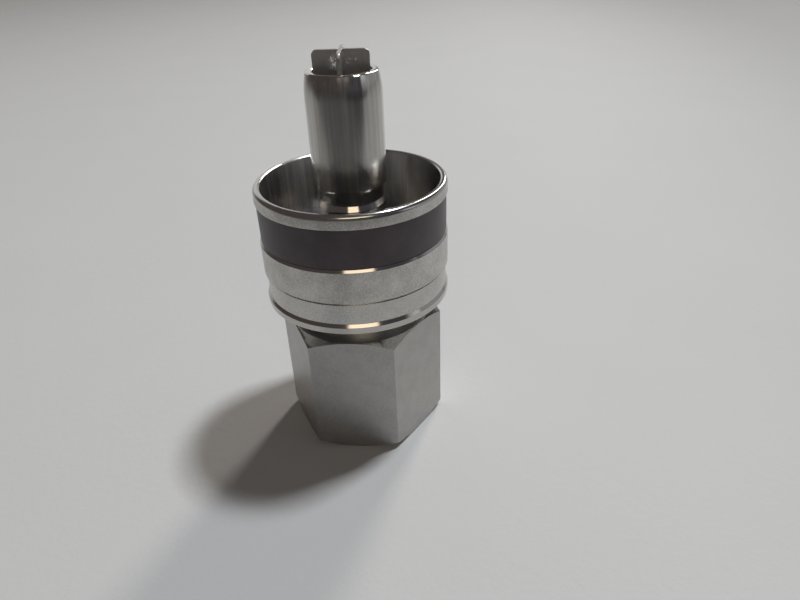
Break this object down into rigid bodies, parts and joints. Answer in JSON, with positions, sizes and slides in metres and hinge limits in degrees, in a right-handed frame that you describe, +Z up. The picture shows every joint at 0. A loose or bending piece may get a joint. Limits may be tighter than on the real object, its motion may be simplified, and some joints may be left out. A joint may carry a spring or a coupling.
{
  "type": "quick connect coupling",
  "caption": "Steel quick connect coupling half: hexagon end fitting, spring-loaded release sleeve with ball lock, and a valved nose opened by crossed plates.",
  "frame": {"origin": "middle of the hexagon's bottom face, on which the coupling stands", "axes": "+Z up along the coupling's axis, from the pipe port to the nose; a flat of the hexagon faces -Y"},
  "size_m": [0.028, 0.028, 0.0591],
  "materials": {
    "satin_steel": "satin, fine grain left by blasting",
    "turned_steel": "turned bright",
    "sleeve_steel": "satin outside, polished cup and edges",
    "plate_steel": "flat sheet, pickled",
    "spring_steel": "drawn wire",
    "ball_steel": "polished",
    "band_plastic": "dull, smooth",
    "seal_plastic": "waxy",
    "seal_rubber": "moulded, matt"
  },
  "bodies": {
    "fitting": {"end_fitting": "satin_steel", "nose_gasket": "seal_plastic", "nose": "turned_steel", "lock_housing": "turned_steel", "stop_ring": "spring_steel", "sleeve_spring": "spring_steel", "valve_spring": "spring_steel"},
    "sleeve": {"release_sleeve": "sleeve_steel", "colour_band": "band_plastic"},
    "valve": {"valve_poppet": "turned_steel", "poppet_seal": "seal_rubber", "cross_plate_a": "plate_steel", "cross_plate_b": "plate_steel"},
    "lock_ball_1": {"lock_ball_1": "ball_steel"},
    "lock_ball_2": {"lock_ball_2": "ball_steel"},
    "lock_ball_3": {"lock_ball_3": "ball_steel"},
    "lock_ball_4": {"lock_ball_4": "ball_steel"},
    "lock_ball_5": {"lock_ball_5": "ball_steel"},
    "lock_ball_6": {"lock_ball_6": "ball_steel"},
    "lock_ball_7": {"lock_ball_7": "ball_steel"},
    "lock_ball_8": {"lock_ball_8": "ball_steel"}
  },
  "joints": [
    {"name": "sleeve_release", "type": "slide", "parent": "fitting", "child": "sleeve", "axis": [0, 0, -1], "range_m": [0, 0.002], "stiffness_N_per_m": 4000, "springref_m": -0.003, "deforming": ["sleeve_spring"]},
    {"name": "valve_open", "type": "slide", "parent": "fitting", "child": "valve", "axis": [0, 0, -1], "range_m": [0, 0.0025], "stiffness_N_per_m": 2000, "springref_m": -0.002, "deforming": ["valve_spring"]},
    {"name": "lock_ball_1_slide", "type": "slide", "parent": "fitting", "child": "lock_ball_1", "axis": [1, 0, 0], "range_m": [0, 0.00057]},
    {"name": "lock_ball_2_slide", "type": "slide", "parent": "fitting", "child": "lock_ball_2", "axis": [0.7071, 0.7071, 0], "range_m": [0, 0.00057]},
    {"name": "lock_ball_3_slide", "type": "slide", "parent": "fitting", "child": "lock_ball_3", "axis": [0, 1, 0], "range_m": [0, 0.00057]},
    {"name": "lock_ball_4_slide", "type": "slide", "parent": "fitting", "child": "lock_ball_4", "axis": [-0.7071, 0.7071, 0], "range_m": [0, 0.00057]},
    {"name": "lock_ball_5_slide", "type": "slide", "parent": "fitting", "child": "lock_ball_5", "axis": [-1, 0, 0], "range_m": [0, 0.00057]},
    {"name": "lock_ball_6_slide", "type": "slide", "parent": "fitting", "child": "lock_ball_6", "axis": [-0.7071, -0.7071, 0], "range_m": [0, 0.00057]},
    {"name": "lock_ball_7_slide", "type": "slide", "parent": "fitting", "child": "lock_ball_7", "axis": [0, -1, 0], "range_m": [0, 0.00057]},
    {"name": "lock_ball_8_slide", "type": "slide", "parent": "fitting", "child": "lock_ball_8", "axis": [0.7071, -0.7071, 0], "range_m": [0, 0.00057]}
  ],
  "couplings": [
    {"joint": "lock_ball_1_slide", "follows": "sleeve_release", "ratio": 0.285},
    {"joint": "lock_ball_2_slide", "follows": "sleeve_release", "ratio": 0.285},
    {"joint": "lock_ball_3_slide", "follows": "sleeve_release", "ratio": 0.285},
    {"joint": "lock_ball_4_slide", "follows": "sleeve_release", "ratio": 0.285},
    {"joint": "lock_ball_5_slide", "follows": "sleeve_release", "ratio": 0.285},
    {"joint": "lock_ball_6_slide", "follows": "sleeve_release", "ratio": 0.285},
    {"joint": "lock_ball_7_slide", "follows": "sleeve_release", "ratio": 0.285},
    {"joint": "lock_ball_8_slide", "follows": "sleeve_release", "ratio": 0.285}
  ]
}
